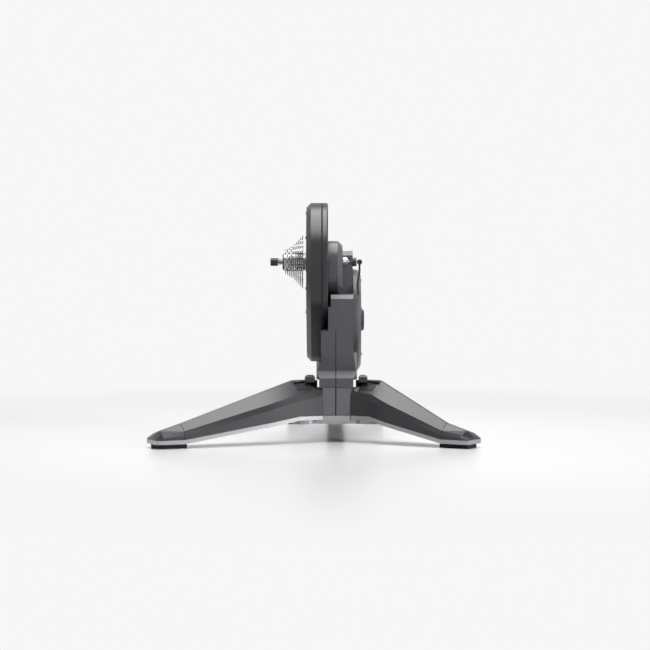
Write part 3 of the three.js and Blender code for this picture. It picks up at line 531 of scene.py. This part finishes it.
class TRAINER_OT_skewer(bpy.types.Operator):
    """Fluted nut, cam head and lever of the quick-release skewer"""

    bl_idname = "trainer.skewer"
    bl_label = "Skewer"

    def execute(self, context):
        dress("skewer_head", sizes().small_edge * 2)
        dress("skewer_lever", sizes().small_edge * 2, angle=20)
        low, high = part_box("skewer_nut")
        radius = (high.z - low.z) / 2
        rib, flute_depth, mouth_depth, edge = 0.5 * MM, 0.9 * MM, 0.8 * MM, 0.35 * MM
        mouth_rim = radius * 0.35
        deselect()
        bpy.ops.mesh.primitive_cylinder_add(
            vertices=sizes().flutes * 2,
            radius=radius,
            depth=high.x - low.x,
            location=(low + high) / 2,
            rotation=(0, math.pi / 2, 0),
        )
        nut = bpy.context.active_object
        settle(nut)
        axis_y, axis_z = centre("skewer_nut").yz
        edit(nut)
        step = math.pi / sizes().flutes

        def in_flute(c, n):
            turn = math.atan2(c.z - axis_z, c.y - axis_y) % (2 * step)
            return abs(n.x) < 0.5 and turn < step

        pick_faces(nut, in_flute)
        bpy.ops.mesh.inset(thickness=rib, use_individual=True)
        bpy.ops.transform.shrink_fatten(value=-flute_depth)
        pick_faces(nut, lambda c, n: n.x < -LOOKS)
        bpy.ops.mesh.inset(thickness=mouth_rim)
        bpy.ops.mesh.extrude_region_move(TRANSFORM_OT_translate={"value": (mouth_depth, 0, 0)})
        leave_edit()
        bevel(nut, edge, angle=40)
        finish_piece(nut, "skewer_nut_fluted", "dark_plastic", "nut", replaces=("skewer_nut",))
        return {"FINISHED"}


def screw(name, place, out):
    """A socket head cap screw whose head stands on place and faces along out."""
    radius, height = sizes().screw_radius, sizes().screw_height
    socket_wall, socket_depth, edge = radius * 0.45, height * 0.8, 0.3 * MM
    deselect()
    bpy.ops.mesh.primitive_cylinder_add(vertices=24, radius=radius, depth=height * 2)
    head = bpy.context.active_object
    edit(head)
    pick_faces(head, lambda c, n: n.z > LOOKS)
    bpy.ops.mesh.inset(thickness=socket_wall)
    bpy.ops.mesh.extrude_region_move(TRANSFORM_OT_translate={"value": (0, 0, -socket_depth)})
    leave_edit()
    bevel(head, edge, angle=40)
    turn = Vector(out).to_track_quat("Z", "Y").to_matrix().to_4x4()
    head.matrix_world = Matrix.Translation(place) @ turn
    settle(head)
    return finish_piece(head, name, "steel", "base")


def screw_circle(name, count, first, x, middle, reach, out):
    """Screws at x on a circle round middle, the first of them first degrees up from the back."""
    for i in range(count):
        turn = math.radians(first + i * 360 / count)
        place = Vector((x, middle.y + reach * math.cos(turn), middle.z + reach * math.sin(turn)))
        screw(f"{name}_{i}", place, out)


class TRAINER_OT_fasteners(bpy.types.Operator):
    """Cover screws on the flywheel cover and the pulley housing"""

    bl_idname = "trainer.fasteners"
    bl_label = "Fasteners"

    def execute(self, context):
        flywheel_share, housing_share = 0.78, 0.84
        low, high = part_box("flywheel_cover")
        middle = (low + high) / 2
        reach = (high.z - low.z) / 2 * flywheel_share
        screw_circle("flywheel_cover_screw", 5, 90, high.x, middle, reach, RIGHT)
        low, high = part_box("pulley_cover_front")
        axle = centre("axle")
        reach = (high.z - axle.z) * housing_share
        screw_circle("pulley_cover_screw", 6, 30, low.x, axle, reach, LEFT)
        return {"FINISHED"}


def joint_strip(name, node, axis):
    """A dark strip of painted shade in the joint beyond the face of node that looks along axis."""
    axis = Vector(axis)
    level = end_along(node, axis)
    depth, half_gap = 0.12 * MM, 0.15 * MM
    strip = copy_node(node, name)
    pick_faces(strip, lambda c, n: n.dot(axis) < SQUARE or abs(c.dot(axis) - level) > TOUCH)
    bpy.ops.mesh.delete(type="FACE")
    bpy.ops.mesh.select_all(action="SELECT")
    bpy.ops.mesh.inset(thickness=depth)
    bpy.ops.mesh.select_all(action="INVERT")
    bpy.ops.mesh.delete(type="FACE")
    bpy.ops.mesh.select_all(action="SELECT")
    width = sizes().joint_width
    bpy.ops.transform.translate(value=axis * (half_gap - width / 2))
    bpy.ops.mesh.extrude_region_move(TRANSFORM_OT_translate={"value": axis * width})
    leave_edit()
    # The strip's near black is painted shade in the joint.
    return finish_piece(strip, name, "seal", "base")


class TRAINER_OT_joints(bpy.types.Operator):
    """Dark strips of painted shade in the joints between the shells"""

    bl_idname = "trainer.joints"
    bl_label = "Joints"

    def execute(self, context):
        joint_strip("joint_housing", "pulley_cover_front", RIGHT)
        joint_strip("joint_casing", "casing_left", RIGHT)
        joint_strip("joint_casing_step", "casing_left", UP)
        joint_strip("joint_hub", "hub_cover_left", RIGHT)
        return {"FINISHED"}


class TRAINER_OT_leg_panels(bpy.types.Operator):
    """Framed hatch on the front slope of each leg, next to the hub"""

    bl_idname = "trainer.leg_panels"
    bl_label = "Leg panels"

    def execute(self, context):
        out_from_pivot, to_front, height = 9 * MM, 11 * MM, 111 * MM
        rim_width, sunk = 1.2 * MM, 0.5 * MM
        for side in SIDES:
            pivot = JOINT_AT[side + "_leg_fold"]
            foot = centre("foot_cap_" + side)
            along = Vector((foot.x - pivot.x, foot.y - pivot.y, 0)).normalized()
            front = Vector((along.y, -along.x, 0))
            front = front if front.y < 0 else -front
            near = Vector((pivot.x, pivot.y, height)) + along * out_from_pivot + front * to_front
            cover = bpy.data.objects["leg_cover_" + side + "_body"]
            found, place, normal, _ = cover.closest_point_on_mesh(near)
            if not found:
                raise RuntimeError("no leg cover under the panel")
            deselect()
            bpy.ops.mesh.primitive_cube_add(size=1)
            panel = bpy.context.active_object
            panel.scale = (sizes().panel_length, sizes().panel_width, sizes().panel_thickness)
            settle(panel)
            edit(panel)
            pick_faces(panel, lambda c, n: n.z > LOOKS)
            bpy.ops.mesh.inset(thickness=rim_width)
            bpy.ops.mesh.extrude_region_move(TRANSFORM_OT_translate={"value": (0, 0, -sunk)})
            leave_edit()
            bevel(panel, FINE_EDGE)
            x_axis = (along - normal * along.dot(normal)).normalized()
            y_axis = normal.cross(x_axis)
            turn = Matrix((x_axis, y_axis, normal)).transposed().to_4x4()
            panel.matrix_world = Matrix.Translation(place) @ turn
            settle(panel)
            finish_piece(panel, "leg_panel_" + side, "leg_plastic", "leg_" + side)
        return {"FINISHED"}


def backdrop_material(name, colour):
    """Pale sheet with a soft sheen: it takes the object's shadow nearby and turns plain white between
    0.45 and 1.7 metres off."""
    material, tree, shader, place = surface(name, Roughness=0.28)
    cloud = add_node(tree, "ShaderNodeTexNoise", {"Vector": place, "Scale": 1.5})
    path = add_node(tree, "ShaderNodeLightPath").outputs
    rays = {0: path["Is Camera Ray"], 1: path["Is Glossy Ray"]}
    seen = add_node(tree, "ShaderNodeMath", rays, operation="MAXIMUM").outputs[0]
    # The light that the sheet throws back at the object is weaker than the sheet looks.
    even = spread(tree, cloud.outputs["Fac"], 0.97, 1.0)
    shown = add_node(tree, "ShaderNodeMath", {0: seen, 1: even}, operation="MULTIPLY")
    tinted(tree, shader, colour, 0.3, 1.0, shown.outputs[0])
    distance = add_node(tree, "ShaderNodeVectorMath", {0: place}, operation="LENGTH").outputs["Value"]
    fade = {"Value": distance, "From Min": 0.45, "From Max": 1.7}
    far = add_node(tree, "ShaderNodeMapRange", fade, interpolation_type="SMOOTHSTEP").outputs["Result"]
    factor = add_node(tree, "ShaderNodeMath", {0: far, 1: seen}, operation="MULTIPLY")
    glow = add_node(tree, "ShaderNodeEmission", {"Color": (0.93, 0.93, 0.93, 1), "Strength": 1.0})
    blend = {0: factor.outputs[0], 1: shader.outputs["BSDF"], 2: glow.outputs["Emission"]}
    mix = add_node(tree, "ShaderNodeMixShader", blend)
    tree.links.new(mix.outputs["Shader"], tree.nodes["Material Output"].inputs["Surface"])
    return material


def soft_lamp(name, place, size, power, target):
    """A softbox at place that shines at target."""
    lamp = bpy.data.lights.new(name, "AREA")
    lamp.shape = "RECTANGLE"
    lamp.size, lamp.size_y = size
    lamp.energy = power
    holder = bpy.data.objects.new(name, lamp)
    holder.location = place
    holder.rotation_euler = (Vector(target) - Vector(place)).to_track_quat("-Z", "Y").to_euler()
    bpy.context.scene.collection.objects.link(holder)


class TRAINER_OT_stage(bpy.types.Operator):
    """Floor, backdrop, lamps and the camera"""

    bl_idname = "trainer.stage"
    bl_label = "Stage"

    def execute(self, context):
        scene = context.scene
        scene.view_settings.view_transform = "Standard"
        # distance over focal_px is the photo's scale at the axle, 2.0 mm a pixel.
        picture_px, focal_px, horizon_px = 650, 2250, 240
        sideways, distance, height = 0.0215, 4.5, 0.4
        axle = centre("axle")
        data = bpy.data.cameras.new("photo camera")
        data.sensor_width = 36
        data.lens = data.sensor_width * focal_px / picture_px
        camera = bpy.data.objects.new("photo camera", data)
        scene.collection.objects.link(camera)
        pitch = math.atan((picture_px / 2 - horizon_px) / focal_px)
        camera.location = (sideways, axle.y - distance, height)
        camera.rotation_euler = (math.pi / 2 - pitch, 0, 0)
        scene.camera = camera

        deselect()
        radius, rim, wall_height, sweep = 14, 4, 9, 2.0
        bpy.ops.mesh.primitive_circle_add(vertices=96, radius=radius, fill_type="NGON")
        floor = bpy.context.active_object
        edit(floor)
        bpy.ops.mesh.inset(thickness=rim)
        bpy.ops.mesh.select_all(action="DESELECT")
        bpy.ops.mesh.select_mode(type="EDGE")
        leave_edit()
        for e in floor.data.edges:
            e.select = all(floor.data.vertices[v].co.length > radius - rim / 2 for v in e.vertices)
        bpy.ops.object.mode_set(mode="EDIT")
        bpy.ops.mesh.extrude_region_move(TRANSFORM_OT_translate={"value": (0, 0, wall_height)})
        leave_edit()
        bevel(floor, sweep, segments=6)
        floor.name = "floor"
        floor.data.materials.clear()
        floor.data.materials.append(backdrop_material("pale floor", colours().floor))

        world = bpy.data.worlds.new("studio")
        scene.world = world
        world.use_nodes = True
        background = world.node_tree.nodes["Background"]
        background.inputs["Color"].default_value = (0.93, 0.94, 0.95, 1)
        background.inputs["Strength"].default_value = 0.12
        soft_lamp("overhead", (0, -0.2, 2.4), (1.3, 2.9), 81, (0, -0.2, 0))
        soft_lamp("right front", (3.1, -2.1, 1.1), (0.9, 1.4), 66, (0, 0, 0.25))
        soft_lamp("left rear", (-2.8, 1.6, 1.3), (0.9, 1.4), 13, (0, 0, 0.25))
        return {"FINISHED"}


class TRAINER_PT_panel(bpy.types.Panel):
    """Sizes, colours and operators of the trainer"""

    bl_idname = "TRAINER_PT_panel"
    bl_label = "Bike trainer"
    bl_space_type = "VIEW_3D"
    bl_region_type = "UI"
    bl_category = "Trainer"

    def draw(self, context):
        for group in (context.scene.trainer_sizes, context.scene.trainer_colours):
            for key in group.__annotations__:
                self.layout.prop(group, key)
        for operator in OPERATORS:
            self.layout.operator(operator.bl_idname)


OPERATORS = (
    TRAINER_OT_stage,
    TRAINER_OT_casing,
    TRAINER_OT_stand,
    TRAINER_OT_drive,
    TRAINER_OT_skewer,
    TRAINER_OT_joints,
    TRAINER_OT_leg_panels,
    TRAINER_OT_fasteners,
)
CLASSES = (TrainerSizes, TrainerColours) + OPERATORS + (TRAINER_PT_panel,)


def register():
    for each in CLASSES:
        bpy.utils.register_class(each)
    bpy.types.Scene.trainer_sizes = bpy.props.PointerProperty(type=TrainerSizes)
    bpy.types.Scene.trainer_colours = bpy.props.PointerProperty(type=TrainerColours)


def unregister():
    del bpy.types.Scene.trainer_colours
    del bpy.types.Scene.trainer_sizes
    for each in reversed(CLASSES):
        bpy.utils.unregister_class(each)


def main():
    register()
    make_finishes()
    bpy.ops.trainer.stage()
    bpy.ops.trainer.casing()
    bpy.ops.trainer.stand()
    bpy.ops.trainer.drive()
    bpy.ops.trainer.skewer()
    bpy.ops.trainer.joints()
    bpy.ops.trainer.leg_panels()
    bpy.ops.trainer.fasteners()


if __name__ == "__main__":
    main()
